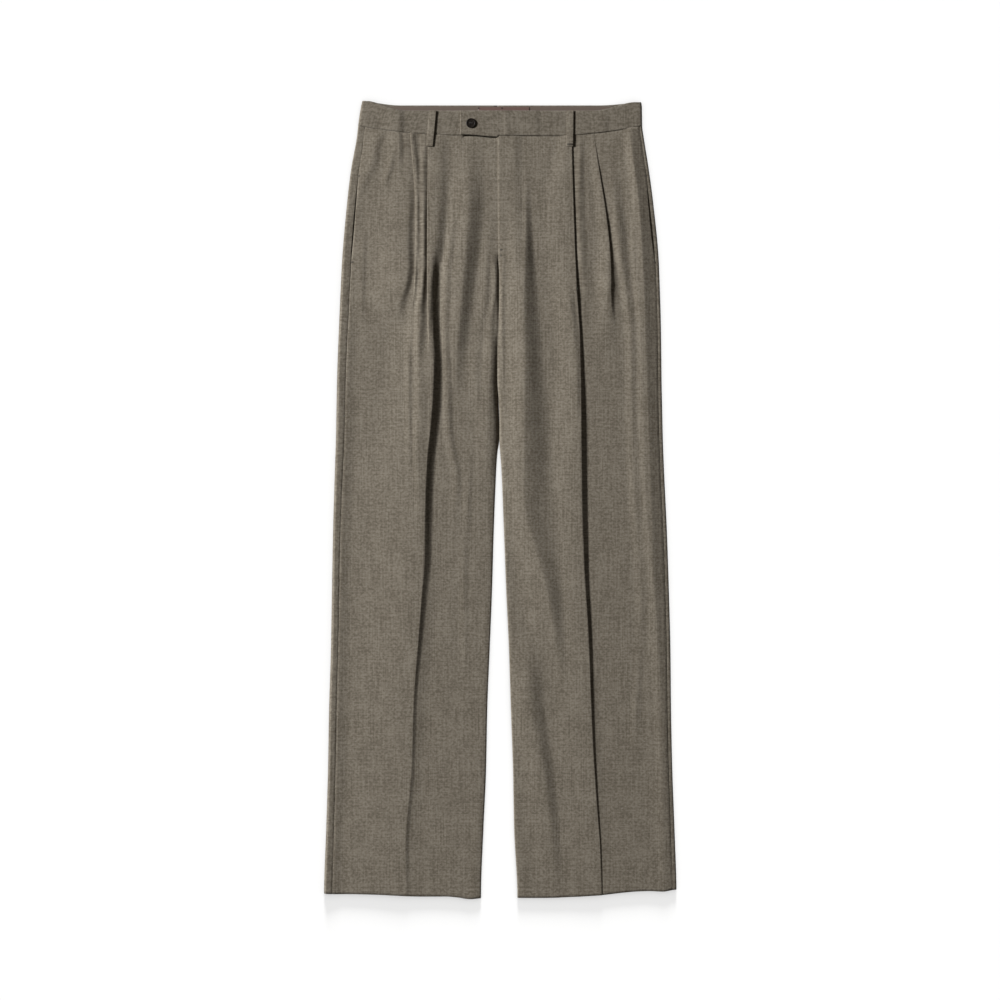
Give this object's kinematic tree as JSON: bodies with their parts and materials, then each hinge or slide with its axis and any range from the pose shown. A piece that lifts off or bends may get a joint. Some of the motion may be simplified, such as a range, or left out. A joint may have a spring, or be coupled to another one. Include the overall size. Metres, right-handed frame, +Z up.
{
  "type": "pleated dress trousers",
  "caption": "Dress trousers laid flat, with outward facing pleats, pressed creases, a buttoned extension waistband and side pockets.",
  "frame": {"origin": "on the surface it lies on, under the middle of the whole laid garment", "axes": "+Z up off the surface, +Y towards the waistband, +X towards the wearer's left"},
  "size_m": [0.486, 1.0989, 0.0114],
  "materials": {
    "suiting": "grey-brown heathered worsted wool, matt, fine plain weave",
    "lining": "brown-mauve waistband lining with a slight sheen",
    "label": "plain dusty-red woven label, no text",
    "button": "near-black horn-like four-hole button, satin"
  },
  "bodies": {
    "root": {"front_right": "suiting", "front_left": "suiting", "back_right": "suiting", "back_left": "suiting", "waistband_right": "suiting", "waistband_left": "suiting", "belt_loop_right": "suiting", "belt_loop_left": "suiting", "pocket_facing_right": "suiting", "pocket_facing_left": "suiting", "waistband_lining": "lining", "label": "label", "button": "button"}
  },
  "joints": []
}
